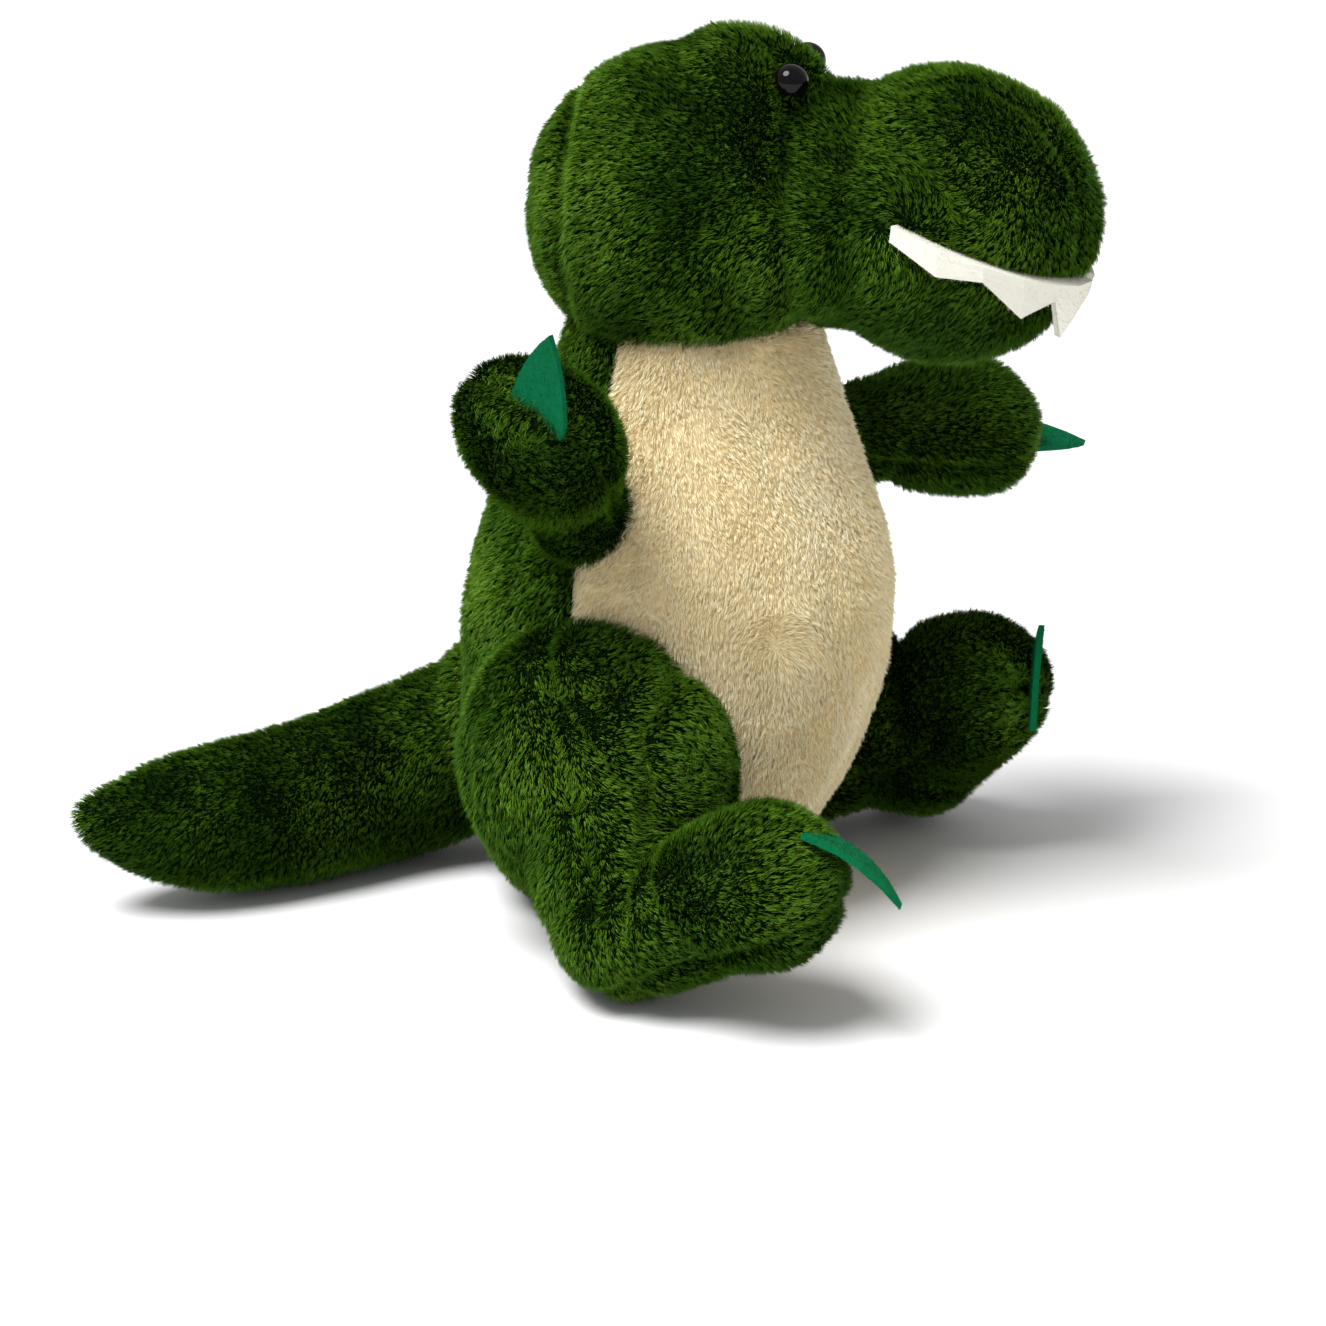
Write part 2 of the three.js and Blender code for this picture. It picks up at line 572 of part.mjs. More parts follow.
function buildTail() {
  const place = new THREE.Matrix4().setPosition(...TAIL_AT);
  const put = (name, made, material) => add(name, moved(made, place), material);
  const { cover, filling } = stuffed(tailForm);
  put("tail_panel_left", cover.intersect(leftOfTail(GAP / 3)), greenPile);
  put("tail_panel_right", cover.subtract(leftOfTail(-GAP / 3)), greenPile);
  put("tail_filling", filling, fibre);
  add("tail_seam", moved(stitchRing(TAIL_ROOT, TAIL_ROOT, 12, 24), axisAt(TAIL_AT, [0, -1, 0])), thread);
}

buildTorso();
buildHead();
for (const [name, arm] of Object.entries(ARMS)) buildArm(name, arm);
for (const [name, leg] of Object.entries(LEGS)) buildLeg(name, leg);
buildTail();

export default toy;
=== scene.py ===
"""A sitting plush dinosaur: stuffed skins that carry pile, which is made of thin blades of mesh."""
import math

import bpy
import numpy as np
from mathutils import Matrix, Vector


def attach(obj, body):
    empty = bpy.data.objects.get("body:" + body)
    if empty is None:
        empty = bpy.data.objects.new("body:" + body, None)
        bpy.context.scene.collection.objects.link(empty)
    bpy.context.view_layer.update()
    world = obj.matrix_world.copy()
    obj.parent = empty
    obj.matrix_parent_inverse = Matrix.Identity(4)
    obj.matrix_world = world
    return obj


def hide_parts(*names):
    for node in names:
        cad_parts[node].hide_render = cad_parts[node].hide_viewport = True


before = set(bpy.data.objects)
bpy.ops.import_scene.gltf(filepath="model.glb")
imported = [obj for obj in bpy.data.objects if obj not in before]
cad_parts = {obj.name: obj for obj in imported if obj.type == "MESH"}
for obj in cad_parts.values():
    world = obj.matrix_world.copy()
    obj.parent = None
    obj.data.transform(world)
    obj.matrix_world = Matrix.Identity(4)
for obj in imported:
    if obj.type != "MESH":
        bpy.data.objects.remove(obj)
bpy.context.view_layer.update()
MM = 0.001
rng = np.random.default_rng(7)

# ---- Sizes, in millimetres, as in the CAD ----
TORSO = [  # z, y, half-width, half-depth
    (-8, 11, 28, 19), (14, 9.5, 38, 31.5), (38, 5, 41, 39.5), (66, 0, 39.5, 41),
    (92, -1, 31, 33), (106, -2, 25.5, 28), (122, -3, 21, 23),
]
HEAD_AT = np.array([0, -1, 135.5])
HEAD_TURN = math.radians(20)
SHOULDER = {"right": (-34, 3, 85), "left": (34, -11, 85)}
ARM_DIRECTION = {"right": (-0.74, -0.17, 0.66), "left": (0.8, -0.58, -0.03)}
ARM_ROLL = {"right": -25, "left": 18}
ARM_STATIONS = [(-3, 8, 8), (11, 11, 10.5), (23, 15, 12.5), (34, 16.5, 13), (46.5, 16, 12.5)]
HIP = {"right": (-39, -3, 38), "left": (38, -2, 28)}
THIGH = {"right": (20, 28), "left": (19, 26.5)}
HEEL = {"right": (-55, -18, 12.8), "left": (56.5, -19, 13.2)}
FOOT_DIRECTION = {"right": (0.05, -0.9, 0.44), "left": (-0.34, -0.63, 0.69)}
FOOT_STATIONS = [(-14, 11, 12), (0, 15, 14), (17, 15.5, 14), (34, 17, 15.5), (48, 15, 14)]
SHIN = [(0.22, 15.5, 21), (0.62, 15, 18), (1, 14.5, 15)]
TAIL_AT = np.array([2, 40, 26])
TAIL_STATIONS = [
    (1, -8, 0, 12, 12), (-2, 5, -3, 15.5, 17.5), (-17, 19, -8, 15, 17.5),
    (-43, 31, -10, 13, 15.5), (-62, 43, -8, 10.5, 12.5), (-76, 54, -5, 8, 9.5),
]
BELLY_EDGE = 3  # the belly panel meets the back panels at this y
MOUTH = (1.5, 0.42, -46, -31)  # height, slope, the y of that height, and the y where the lips end
SKIN_INSET = 1.5  # the skins lie this far inside the CAD covers, so that the pile fills the rest
SKIN_FLOOR, PILE_FLOOR = 0.4, 0.1  # the lowest a skin and a blade may reach
BARE_BELOW, TORSO_BARE_BELOW = 2.4, 3  # no pile grows below these heights, where the toy rests


# ---- Soft solids ----
def smooth_line(points, t):
    """A Catmull-Rom line through the points, at each t from 0 to 1."""
    points = np.asarray(points, float)
    n = len(points) - 1
    ends = np.vstack([2 * points[0] - points[1], points, 2 * points[-1] - points[-2]])
    place = np.clip(t, 0, 1) * n
    i = np.minimum(place.astype(int), n - 1)
    u = (place - i)[:, None]
    a, b, c, d = ends[i], ends[i + 1], ends[i + 2], ends[i + 3]
    return 0.5 * (2 * b + (c - a) * u + (2 * a - 5 * b + 4 * c - d) * u**2 + (3 * b - a - 3 * c + d) * u**3)


def normalized(v):
    return v / np.maximum(np.linalg.norm(v, axis=-1, keepdims=True), 1e-9)


def tube(stations, up, round_ends=(0.25, 0.25), rings=40, sides=48):
    """Closed tube along stations (x, y, z, wide, deep); its ends close over a share of its length."""
    stations = np.asarray(stations, float)
    t = (1 - np.cos(np.linspace(0, np.pi, rings))) / 2
    centre, size = smooth_line(stations[:, :3], t), smooth_line(stations[:, 3:], t)
    along = normalized(np.gradient(smooth_line(stations[:, :3], t), t, axis=0))
    side = normalized(np.cross(along, up))
    over = np.cross(side, along)
    closing = lambda d, share: np.sqrt(np.maximum(0.002, 1 - (1 - np.clip(d / share, 0, 1)) ** 2))
    share = closing(t, round_ends[0]) * closing(1 - t, round_ends[1])
    angle = np.linspace(0, 2 * np.pi, sides, endpoint=False)
    size = (size - SKIN_INSET) * share[:, None]
    centre = centre + along * (SKIN_INSET * (1 - 2 * t))[:, None]
    rings_of = (
        centre[:, None]
        + side[:, None] * (size[:, :1] * np.cos(angle))[..., None]
        + over[:, None] * (size[:, 1:] * np.sin(angle))[..., None]
    )
    verts = [tuple(p) for p in rings_of.reshape(-1, 3)]
    faces = [
        (r * sides + s, r * sides + (s + 1) % sides, (r + 1) * sides + (s + 1) % sides, (r + 1) * sides + s)
        for r in range(rings - 1) for s in range(sides)
    ]
    faces.append(tuple(reversed(range(sides))))
    faces.append(tuple((rings - 1) * sides + s for s in range(sides)))
    return verts, faces


def ellipsoid(at, sizes, rings=32, sides=48):
    at, sizes = np.asarray(at, float), np.asarray(sizes, float) - SKIN_INSET
    polar = np.linspace(0.001, np.pi - 0.001, rings)
    angle = np.linspace(0, 2 * np.pi, sides, endpoint=False)
    p, a = np.meshgrid(polar, angle, indexing="ij")
    unit = np.stack([np.sin(p) * np.cos(a), np.sin(p) * np.sin(a), np.cos(p)], -1)
    verts = [tuple(v) for v in (at + unit * sizes).reshape(-1, 3)]
    faces = [
        (r * sides + s, (r + 1) * sides + s, (r + 1) * sides + (s + 1) % sides, r * sides + (s + 1) % sides)
        for r in range(rings - 1) for s in range(sides)
    ]
    faces.append(tuple(range(sides)))
    faces.append(tuple(reversed([(rings - 1) * sides + s for s in range(sides)])))
    return verts, faces


def placed(form, matrix):
    verts, faces = form
    points = np.asarray(verts) @ np.asarray(matrix)[:3, :3].T + np.asarray(matrix)[:3, 3]
    return [tuple(p) for p in points], faces


def frame_at(at, direction, roll=0.0):
    x = normalized(np.asarray(direction, float))
    y = normalized(np.cross((0, 0, 1), x))
    z = np.cross(x, y)
    c, s = math.cos(math.radians(roll)), math.sin(math.radians(roll))
    made = np.eye(4)
    made[:3, 0], made[:3, 1], made[:3, 2], made[:3, 3] = x, y * c + z * s, -y * s + z * c, at
    return made


HEAD_FRAME = np.eye(4)
HEAD_FRAME[:2, :2] = [
    [math.cos(HEAD_TURN), -math.sin(HEAD_TURN)],
    [math.sin(HEAD_TURN), math.cos(HEAD_TURN)],
]
HEAD_FRAME[:3, 3] = HEAD_AT
UP = (0, 0, 1)


def new_mesh(name, verts, faces):
    data = bpy.data.meshes.new(name)
    data.from_pydata([tuple(v) for v in verts], [], faces)
    data.update()
    obj = bpy.data.objects.new(name, data)
    bpy.context.scene.collection.objects.link(obj)
    return obj


def evaluated(obj):
    """Applies an object's modifiers."""
    graph = bpy.context.evaluated_depsgraph_get()
    data = bpy.data.meshes.new_from_object(obj.evaluated_get(graph))
    obj.modifiers.clear()
    obj.data = data
    return obj


def melted(name, forms, voxel=1.5, smooth=14, flat_below=None):
    """One skin round several closed forms, with soft creases where they meet."""
    verts, faces = [], []
    for v, f in forms:
        faces += [tuple(i + len(verts) for i in face) for face in f]
        verts += v
    obj = new_mesh(name, np.asarray(verts) * MM, faces)
    remesh = obj.modifiers.new("union", "REMESH")
    remesh.mode, remesh.voxel_size, remesh.adaptivity = "VOXEL", voxel * MM, 0
    soften = obj.modifiers.new("soften", "SMOOTH")
    soften.factor, soften.iterations = 0.5, smooth
    evaluated(obj)
    if flat_below is not None:
        points = coords(obj)
        points[:, 2] = np.maximum(points[:, 2], flat_below * MM)
        put_coords(obj, points)
    return obj


def coords(obj):
    flat = np.empty(len(obj.data.vertices) * 3, np.float32)
    obj.data.vertices.foreach_get("co", flat)
    return flat.reshape(-1, 3).astype(float)


def put_coords(obj, points):
    obj.data.vertices.foreach_set("co", points.astype(np.float32).ravel())
    obj.data.update()


def vertex_normals(obj):
    flat = np.empty(len(obj.data.vertices) * 3, np.float32)
    obj.data.vertex_normals.foreach_get("vector", flat)
    return flat.reshape(-1, 3).astype(float)


# ---- Noise ----
LATTICE = rng.random((32, 32, 32, 4)) * 2 - 1


def noise(points, size, channel=0):
    """Smooth noise from -1 to 1 at points in millimetres; size is its grain."""
    p = points / size + 100.0 + 7.3 * channel
    i = np.floor(p).astype(int)
    f = p - i
    f = f * f * (3 - 2 * f)
    total = 0
    for dx in (0, 1):
        for dy in (0, 1):
            for dz in (0, 1):
                weight = (
                    (f[:, 0] if dx else 1 - f[:, 0])
                    * (f[:, 1] if dy else 1 - f[:, 1])
                    * (f[:, 2] if dz else 1 - f[:, 2])
                )
                cell = LATTICE[(i[:, 0] + dx) % 32, (i[:, 1] + dy) % 32, (i[:, 2] + dz) % 32, channel % 4]
                total = total + weight * cell
    return total


# ---- Materials ----
def material(name, color, roughness, specular=0.3):
    made = bpy.data.materials.new(name)
    made.use_nodes = True
    shader = made.node_tree.nodes["Principled BSDF"]
    shader.inputs["Base Color"].default_value = (*color, 1)
    shader.inputs["Roughness"].default_value = roughness
    shader.inputs["Specular IOR Level"].default_value = specular
    return made


# Painted shade: the blades' roots are much darker than their tips, standing in for the shade deep in the
# pile.
GREEN_ROOT_PAINTED_SHADE = material("green_pile_root_painted_shade", (0.005, 0.017, 0.001), 0.9, specular=0.0)
# Tip tones: random from blade to blade, plus painted light and shade in patches; darker and lighter copies
# of one green.
GREEN_TIPS_TONE_AND_PAINTED_LIGHT = [
    material("green_pile_dark_tone_and_painted_shade", (0.032, 0.095, 0.003), 0.6, specular=0.12),
    material("green_pile_mid", (0.062, 0.158, 0.006), 0.55, specular=0.12),
    material("green_pile_bright_tone_and_painted_light", (0.118, 0.250, 0.012), 0.55, specular=0.15),
]
# Painted shade: the cream roots are a little darker than the tips, for the shade deep in the pile.
CREAM_ROOT_PAINTED_SHADE = material("cream_pile_root_painted_shade", (0.88, 0.76, 0.47), 0.8, specular=0.0)
# Tip tones: random from blade to blade, plus painted light and shade in patches; darker and lighter copies
# of one cream.
CREAM_TIPS_TONE_AND_PAINTED_LIGHT = [
    material("cream_pile_dark_tone_and_painted_shade", (0.91, 0.81, 0.54), 0.7, specular=0.1),
    material("cream_pile_mid", (0.94, 0.86, 0.61), 0.65, specular=0.1),
    material("cream_pile_bright_tone_and_painted_light", (0.96, 0.91, 0.70), 0.6, specular=0.1),
]
GREEN_PILE, CREAM_PILE = [GREEN_ROOT_PAINTED_SHADE, *GREEN_TIPS_TONE_AND_PAINTED_LIGHT], [CREAM_ROOT_PAINTED_SHADE, *CREAM_TIPS_TONE_AND_PAINTED_LIGHT]
# Painted shade: the backings under the pile are darker than it, the green one nearly black, for the shade
# between the blades.
GREEN_BACKING_PAINTED_SHADE = material("green_backing_painted_shade", (0.004, 0.014, 0.002), 0.95, specular=0.05)
CREAM_BACKING_PAINTED_SHADE = material("cream_backing_painted_shade", (0.84, 0.70, 0.43), 0.95, specular=0.05)
WHITE_FELT = material("white_felt", (0.78, 0.77, 0.68), 0.95, specular=0.1)
WHITE_EDGE = material("white_felt_edge", (0.66, 0.74, 0.48), 0.95, specular=0.1)
GREEN_FELT = material("green_felt", (0.001, 0.125, 0.045), 0.95, specular=0.1)
BEAD = material("bead_black", (0.002, 0.002, 0.002), 0.05, specular=0.2)
THREAD = material("green_thread", (0.012, 0.040, 0.006), 0.8)


# ---- Skins ----
def head_skin():
    forms = [
        ellipsoid((0, 0, 0), (31, 31, 31)),
        ellipsoid((0, -9, 13.5), (20, 20, 21.5)),
        ellipsoid((10, -19, -2), (18, 20, 18)),
        ellipsoid((-10, -19, -2), (18, 20, 18)),
        ellipsoid((0, -29, 2), (23, 22, 23)),
        ellipsoid((0, -48, 1), (27, 28, 28)),
    ]
    return melted("head_skin", [placed(form, HEAD_FRAME) for form in forms], voxel=1.2, smooth=9)


def arm_skin(side):
    stations = [(x, 0, 0, wide, deep) for x, wide, deep in ARM_STATIONS]
    place = frame_at(SHOULDER[side], ARM_DIRECTION[side], ARM_ROLL[side])
    forms = [tube(stations, UP, (0.1, 0.24)), ellipsoid((0, 0, 0), (10.5, 10.5, 10.5))]
    return melted(f"arm_{side}_skin", [placed(form, place) for form in forms], voxel=1.1, smooth=6)


def leg_skin(side):
    hip, heel = np.array(HIP[side], float), np.array(HEEL[side], float)
    wide, tall = THIGH[side]
    shin = [(*(hip + (heel - hip) * share), w, d) for share, w, d in SHIN]
    foot = [(x, 0, 0, w, d) for x, w, d in FOOT_STATIONS]
    forms = [
        ellipsoid(hip, (wide, tall, tall)),
        tube(shin, UP, (0.3, 0.3)),
        placed(tube(foot, UP, (0.3, 0.3)), frame_at(heel, FOOT_DIRECTION[side])),
    ]
    return melted(f"leg_{side}_skin", forms, voxel=1.2, smooth=8, flat_below=1.4)


def tail_skin():
    forms = [tube(TAIL_STATIONS, UP, (0.1, 0.3)), ellipsoid((0, 0, 0), (20, 20, 20))]
    place = np.eye(4)
    place[:3, 3] = TAIL_AT
    return melted("tail_skin", [placed(form, place) for form in forms], voxel=1.2, smooth=6, flat_below=1.4)


def torso_skin():
    stations = [(0, y, z, wide, deep) for z, y, wide, deep in TORSO]
    return melted("torso_skin", [tube(stations, (0, 1, 0), (0.16, 0.05))], smooth=6, flat_below=1.2)


def local(points, place):
    """Points given in the row frame, in a part's own frame."""
    return (points - place[:3, 3]) @ place[:3, :3]


def groove(distance, depth, width):
    """A soft furrow where distance is near 0."""
    return -depth * np.exp(-((distance / width) ** 2))


def shape_skin(obj, carve):
    """Moves a skin along its normals by carve(points), in millimetres."""
    points, normals = coords(obj) / MM, vertex_normals(obj)
    points = points + normals * carve(points)[:, None]
    points[:, 2] = np.maximum(points[:, 2], SKIN_FLOOR)
    put_coords(obj, points * MM)


def lumps(points, seed):
    return 0.9 * noise(points, 17, seed) + 0.45 * noise(points, 8, seed + 1)


def from_mouth(p):
    """Height above the mouth line, for points in the head's own frame."""
    height, slope, at_y, _ = MOUTH
    return p[:, 2] - (height + slope * (p[:, 1] - at_y))


def carve_head(points):
    p = local(points, HEAD_FRAME)
    out = lumps(points, 1)
    out += groove(p[:, 1] - 20, 1.5, 1.2)
    crease = p[:, 1] + 21.5 - 0.12 * p[:, 2] + 1.5 * noise(points, 12.0, 1)
    out += groove(crease, 2.4, 3.2) * (np.abs(p[:, 0]) > 5)
    temple = p[:, 1] + 12 + 0.5 * (p[:, 2] - 14)
    out += groove(temple, 0.9, 3.0) * (np.abs(p[:, 0]) > 16) * (p[:, 2] > 0)
    out += groove(from_mouth(p), 1.6, 1.5) * (p[:, 1] < MOUTH[3])
    gusset = np.abs(p[:, 0]) - 9
    return out + groove(gusset, 0.8, 1.1) * (p[:, 2] > -5) * (p[:, 1] < -40)


def carve_torso(points):
    out = lumps(points, 2)
    out += groove(points[:, 1] - BELLY_EDGE, 1.5, 1.4)
    out += groove(points[:, 0], 1.3, 1.2) * (points[:, 1] > BELLY_EDGE)
    return out


def carve_arm(side):
    place = frame_at(SHOULDER[side], ARM_DIRECTION[side], ARM_ROLL[side])

    def carve(points):
        p = local(points, place)
        elbow = p[:, 0] - 15 - 0.3 * p[:, 1]
        inner = 1 if side == "right" else -1
        out = lumps(points, 3) * 0.9 + groove(elbow, 1.2, 2.4) * (p[:, 2] * inner > 0)
        return out + groove(p[:, 2], 1.4, 1.2) * (p[:, 0] > 2)
    return carve


def carve_leg(side):
    foot = frame_at(HEEL[side], FOOT_DIRECTION[side])
    sign = -1 if side == "right" else 1
    seam = HIP[side][0] + 0.8 * (HEEL[side][0] - HIP[side][0])

    def carve(points):
        p = local(points, foot)
        out = lumps(points, 4)
        in_foot = (p[:, 0] > -14) & (p[:, 2] < 0)
        out += groove(p[:, 2] + 7.5, 1.6, 1.2) * in_foot
        out += groove(points[:, 0] - seam, 0.9, 1.1) * (p[:, 2] > -6)
        ankle = p[:, 0] - 8 - 0.35 * p[:, 2]
        out += groove(ankle + 2 * noise(points, 11.0, 2), 2.4, 2.4) * (p[:, 2] > 0)
        knee = (points - np.array(HIP[side]))
        fold = knee[:, 2] * 0.55 - knee[:, 1] - 6
        out += groove(fold + 2 * noise(points, 13.0, 1), 1.7, 2.6) * (sign * knee[:, 0] > 0)
        fold = knee[:, 2] * 0.9 - knee[:, 1] - 17
        return out + groove(fold + 2 * noise(points, 13.0, 2), 1.5, 2.2) * (sign * knee[:, 0] > 2)
    return carve


def carve_tail(points):
    return lumps(points, 5)


# ---- Pile ----
def triangles(obj):
    data = obj.data
    data.calc_loop_triangles()
    tri = np.empty(len(data.loop_triangles) * 3, np.int32)
    data.loop_triangles.foreach_get("vertices", tri)
    return tri.reshape(-1, 3)


def roots(obj, per_mm2):
    """Points spread evenly over a skin, in millimetres, with their normals."""
    points, normals, tri = coords(obj) / MM, vertex_normals(obj), triangles(obj)
    a, b, c = (points[tri[:, k]] for k in range(3))
    area = np.linalg.norm(np.cross(b - a, c - a), axis=1) / 2
    count = int(area.sum() * per_mm2)
    chosen = rng.choice(len(tri), count, p=area / area.sum())
    u, v = rng.random((2, count))
    flip = u + v > 1
    u[flip], v[flip] = 1 - u[flip], 1 - v[flip]
    weights = np.stack([1 - u - v, u, v], 1)
    at = (points[tri[chosen]] * weights[..., None]).sum(1)
    return at, normalized((normals[tri[chosen]] * weights[..., None]).sum(1))


def blades(name, at, low, mid, tip, width, shades):
    """One mesh of bent, tapered blades of pile: each foot takes the first material and each point the
    second; on the skins' pile the foot is painted shade, darker than the point.
    """
    n = len(at)
    across = normalized(rng.normal(0, 1, (n, 3)))
    across = normalized(across - low * (across * low).sum(1, keepdims=True)) * width[:, None]
    base = at - low * 0.4
    rows = np.stack([base - across / 2, base + across / 2, mid - across * 0.45, mid + across * 0.45, tip], 1)
    rows[..., 2] = np.maximum(rows[..., 2], PILE_FLOOR)
    first = np.arange(n)[:, None] * 5
    faces = (first[..., None] + np.array([[0, 1, 3], [0, 3, 2], [2, 3, 4]])).reshape(-1, 3)
    data = bpy.data.meshes.new(name)
    data.vertices.add(n * 5)
    data.vertices.foreach_set("co", (rows * MM).astype(np.float32).ravel())
    data.loops.add(len(faces) * 3)
    data.loops.foreach_set("vertex_index", faces.astype(np.int32).ravel())
    data.polygons.add(len(faces))
    data.polygons.foreach_set("loop_start", np.arange(0, len(faces) * 3, 3, dtype=np.int32))
    # Each blade's root quad takes the first material, on the pile a painted shade; its tip triangle takes
    # the second.
    data.polygons.foreach_set("material_index", np.tile(np.array([0, 0, 1], np.int32), n))
    data.update(calc_edges=True)
    for shade in shades:
        data.materials.append(shade)
    obj = bpy.data.objects.new(name, data)
    bpy.context.scene.collection.objects.link(obj)
    return obj


def clumps(points, grain):
    """The nearest of some scattered points to each point, and four numbers from 0 to 1 that are its own."""
    cell = np.floor(points / grain + 500).astype(int)
    within = points / grain + 500 - cell
    best = np.full(len(points), 99.0)
    offset, own = np.zeros_like(points), np.zeros((len(points), 4))
    for dx in (-1, 0, 1):
        for dy in (-1, 0, 1):
            for dz in (-1, 0, 1):
                step = np.array([dx, dy, dz])
                at = (cell + step) % 32
                value = LATTICE[at[:, 0], at[:, 1], at[:, 2]] * 0.5 + 0.5
                toward = step + value[:, :3] - within
                far = (toward**2).sum(1)
                nearer = far < best
                best[nearer], offset[nearer], own[nearer] = far[nearer], toward[nearer], value[nearer]
    return offset * grain, own


def inside_of(points, volumes):
    """True where a point lies inside any of some round volumes (centre, half-sizes)."""
    hidden = np.zeros(len(points), bool)
    for centre, sizes in volumes:
        hidden |= (((points - np.asarray(centre)) / np.asarray(sizes)) ** 2).sum(1) < 1
    return hidden


DENSITY = 12.0  # blades to a square millimetre
LIMIT = 62000  # blades in one piece, to stay under the export's face limit
THICK = 0.135


def grow(part, body, obj, flow_of, keep, tones, length=2.4, lean=0.66):
    """Grows pile on a skin where keep(points) is true: one colour, with painted shade at the blades' roots
    and tips in some tones that are partly random and partly painted light and shade in patches, drawn into
    small tufts.
    """
    at, normal = roots(obj, DENSITY)
    chosen = keep(at)
    at, normal = at[chosen], normal[chosen]
    n = len(at)
    wave = np.stack([noise(at, 9.0, k) for k in range(3)], 1)
    offset, own = clumps(at, 0.9)
    flow = normalized(flow_of(at)) + 0.5 * wave + 0.4 * (own[:, :3] - 0.5)
    flow = flow + rng.normal(0, 0.12, (n, 3))
    tangent = normalized(flow - normal * (flow * normal).sum(1, keepdims=True) + 1e-4)
    angle = lean + 0.3 * noise(at, 5.0, 3) + 0.25 * noise(at, 15.0, 1)
    angle = angle + 0.5 * (own[:, 3] - 0.5) + rng.normal(0, 0.1, n)
    angle = np.clip(angle, 0.15, 1.35)[:, None]
    tall = length * (0.86 + 0.3 * own[:, 0] + 0.08 * rng.normal(0, 1, n))
    tall = np.clip(tall, 1.2, length * 1.35)[:, None]
    low = normalized(normal * np.cos(angle * 0.6) + tangent * np.sin(angle * 0.6))
    high = normalized(normal * np.cos(angle * 1.2) + tangent * np.sin(angle * 1.2))
    gather = offset - normal * (offset * normal).sum(1, keepdims=True)
    mid = at + low * tall * 0.5 + gather * 0.18
    tip = mid + high * tall * 0.5 + gather * 0.36
    wide = THICK * rng.uniform(0.75, 1.25, n)
    # Tip tone: random per tuft and per blade, plus painted light and shade in larger patches.
    light = 0.55 * (own[:, 3] - 0.5) + 0.6 * noise(at, 13.0, 0) + rng.normal(0, 0.22, n)
    tone = np.digitize(light, [-0.2, 0.22])
    for k, shade in enumerate(tones[1:]):
        every = np.flatnonzero(tone == k)
        for piece, start in enumerate(range(0, len(every), LIMIT)):
            pick = every[start:start + LIMIT]
            made = blades(
                f"{part}_pile_{'abc'[k]}{piece}", at[pick], low[pick], mid[pick], tip[pick], wide[pick],
                [tones[0], shade],
            )
            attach(made, body)


def dress(obj, body, nodes, skins, split=None):
    """Gives a skin its backing materials, darker than its pile as painted shade, and its place in the frame.
    """
    for skin in skins:
        obj.data.materials.append(skin)
    if split is not None:
        centres = np.empty(len(obj.data.polygons) * 3, np.float32)
        obj.data.polygons.foreach_get("center", centres)
        second = split(centres.reshape(-1, 3).astype(float) / MM)
        obj.data.polygons.foreach_set("material_index", second.astype(np.int32))
    obj.data.polygons.foreach_set("use_smooth", np.ones(len(obj.data.polygons), bool))
    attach(obj, body)
    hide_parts(*nodes)


# ---- Head ----
head = head_skin()
shape_skin(head, carve_head)


def head_flow(points):
    p = local(points, HEAD_FRAME)
    back = np.stack([0.25 * np.sign(p[:, 0]), np.full(len(p), 1.0), np.full(len(p), -0.45)], 1)
    offset = np.stack([np.abs(p[:, 0]) - 27, p[:, 1] + 42, p[:, 2] - 4], 1)
    far = np.linalg.norm(offset, axis=1, keepdims=True)
    around = normalized(np.cross(np.stack([p[:, 0], p[:, 1] * 0, p[:, 2] * 0], 1), offset))
    swirl = np.exp(-((far / 12) ** 2))
    outwards = normalized(offset)
    outwards[:, 0] *= np.sign(p[:, 0])
    own = normalized(back) * (1 - swirl) + (0.8 * outwards + 0.6 * around) * swirl
    return own @ HEAD_FRAME[:3, :3].T


def on_head(points):
    p = local(points, HEAD_FRAME)
    lips = np.abs(from_mouth(p)) < 0.9
    return ~(lips & (p[:, 1] < MOUTH[3])) & ~inside_of(points, [((0, -1, 100), (19, 19, 16))])


grow("head", "head", head, head_flow, on_head, GREEN_PILE)
dress(
    head, "head",
    ["head_side_left", "head_side_right", "head_gusset", "head_back", "jaw_panel", "head_filling",
     "eye_washer_left", "eye_washer_right"],
    [GREEN_BACKING_PAINTED_SHADE],
)

# ---- Torso ----
torso = torso_skin()
shape_skin(torso, carve_torso)
LIMB_ROOTS = [
    (HEAD_AT, (29.5, 29.5, 29.5)),
    (SHOULDER["right"], (9.5, 9.5, 9.5)), (SHOULDER["left"], (9.5, 9.5, 9.5)),
    (HIP["right"], (19, 27, 27)), (HIP["left"], (18, 25.5, 25.5)),
    (TAIL_AT, (19, 19, 19)),
]


def torso_flow(points):
    down = np.stack([0.2 * np.sign(points[:, 0]), np.zeros(len(points)), np.full(len(points), -1.0)], 1)
    offset = points - np.array([-22, -32, 60])
    far = np.linalg.norm(offset, axis=1, keepdims=True)
    swirl = np.exp(-((far / 9) ** 2))
    return down * (1 - swirl) + normalized(offset) * swirl


def belly(points):
    return (points[:, 1] < BELLY_EDGE + 0.8 * noise(points, 3.0, 2)) & ~inside_of(points, LIMB_ROOTS)


def back_of(points):
    return (points[:, 1] >= BELLY_EDGE + 0.8 * noise(points, 3.0, 2)) & ~inside_of(points, LIMB_ROOTS)


def above_floor(test):
    return lambda points: test(points) & (points[:, 2] > TORSO_BARE_BELOW)


grow("belly", "torso", torso, torso_flow, above_floor(belly), CREAM_PILE, length=1.8, lean=0.9)
grow("back", "torso", torso, torso_flow, above_floor(back_of), GREEN_PILE)
dress(
    torso, "torso",
    ["belly_panel", "back_panel_left", "back_panel_right", "torso_filling", "pellet_pouch",
     "hip_seam_left", "hip_seam_right"],
    [GREEN_BACKING_PAINTED_SHADE, CREAM_BACKING_PAINTED_SHADE], lambda points: points[:, 1] < BELLY_EDGE,
)

